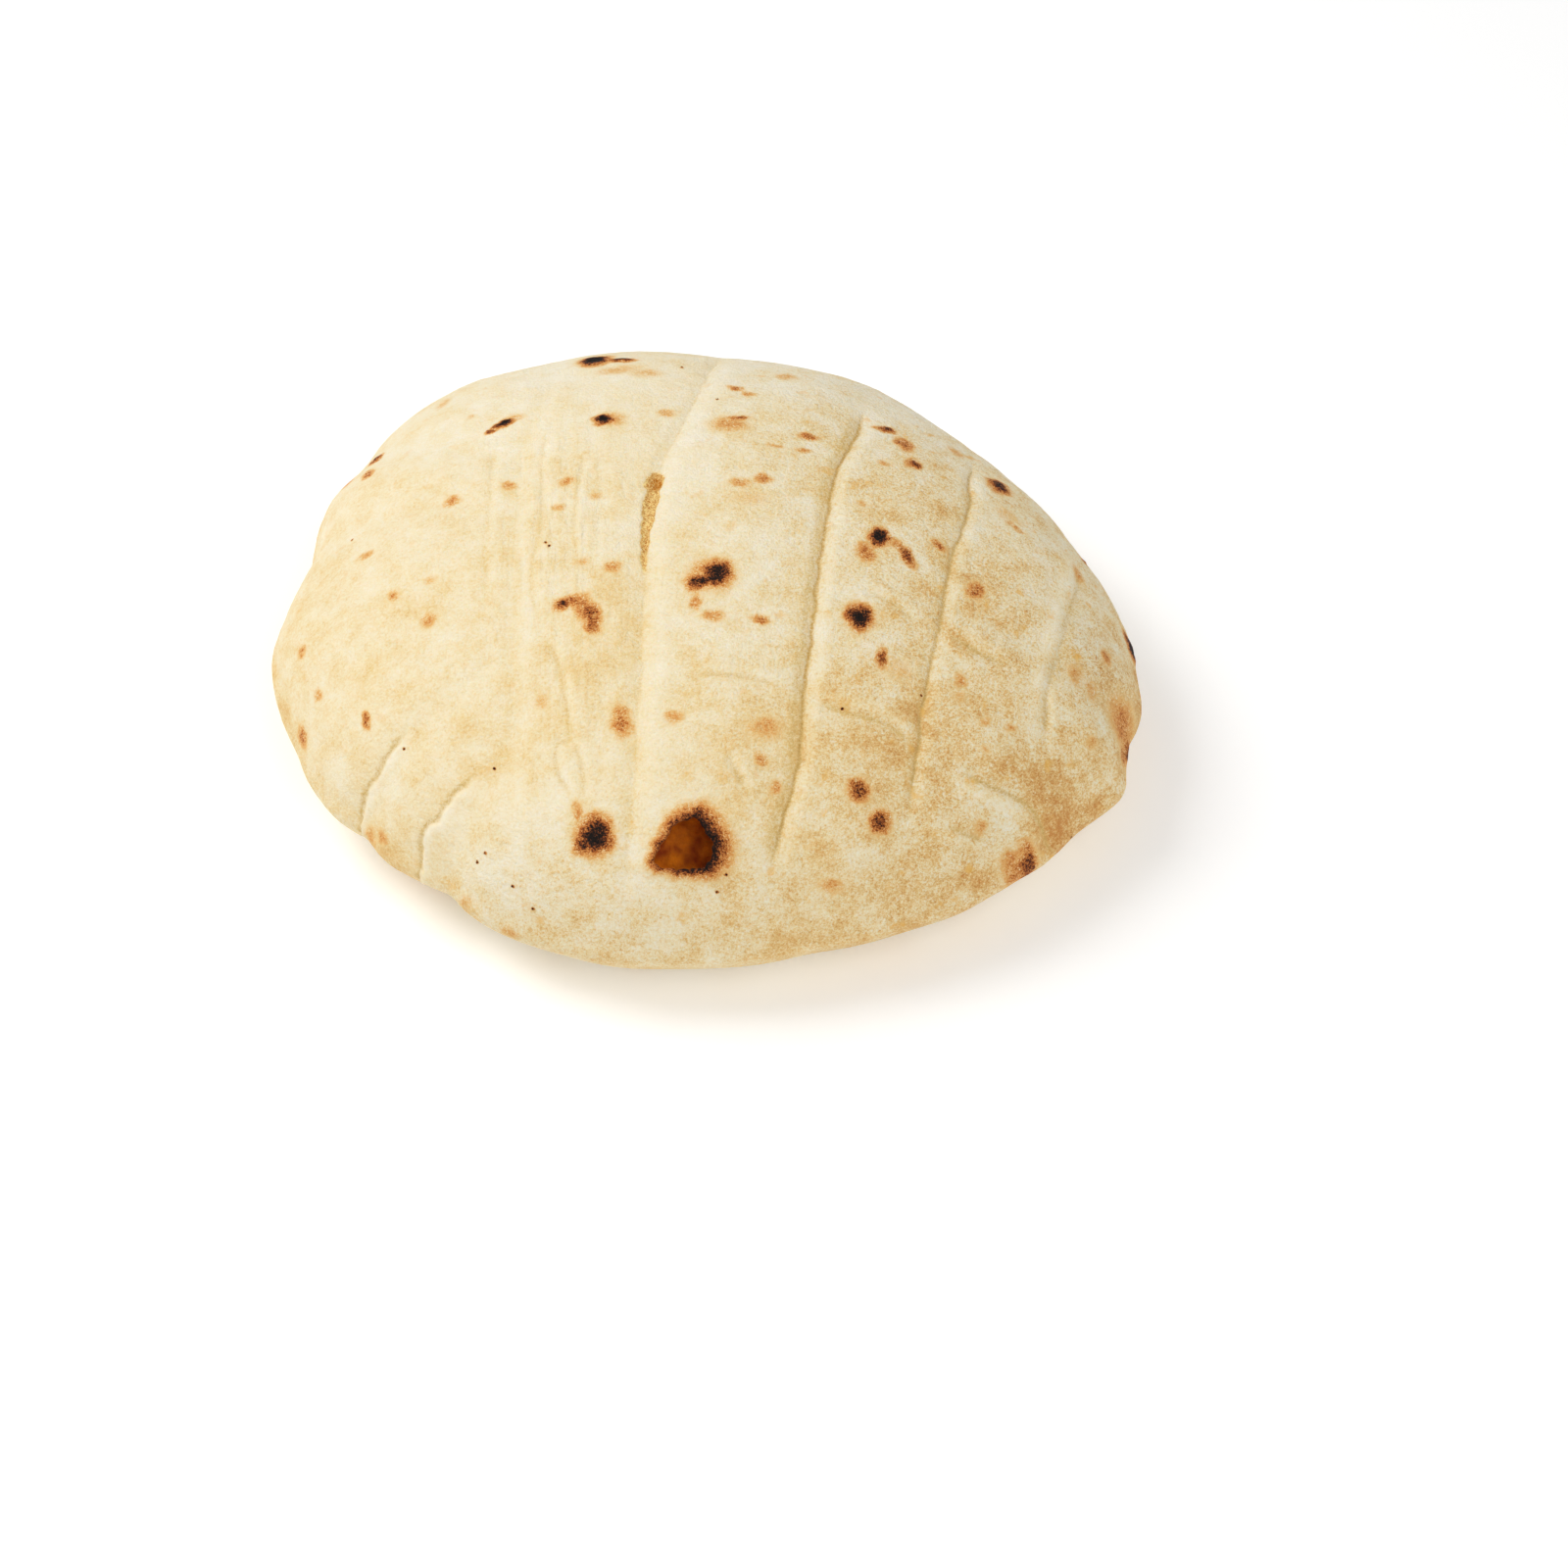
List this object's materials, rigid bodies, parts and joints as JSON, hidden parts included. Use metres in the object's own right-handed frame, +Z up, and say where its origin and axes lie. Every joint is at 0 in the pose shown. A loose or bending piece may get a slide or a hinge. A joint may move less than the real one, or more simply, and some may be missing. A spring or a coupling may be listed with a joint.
{
  "type": "lepinja flatbread",
  "caption": "Round puffed flatbread with a browned dome, shallow scores across its top, a folded edge and one burst blister.",
  "frame": {"origin": "middle of the bread's bounding box, on the flat underside", "axes": "+Z up, +X to the right along the longest side, +Y away from the side with the burst blister"},
  "size_m": [0.2201, 0.2038, 0.0619],
  "materials": {
    "crust": "matt floured bread crust, pale cream with golden and charred spots"
  },
  "bodies": {
    "root": {"bread": "crust"}
  },
  "joints": []
}
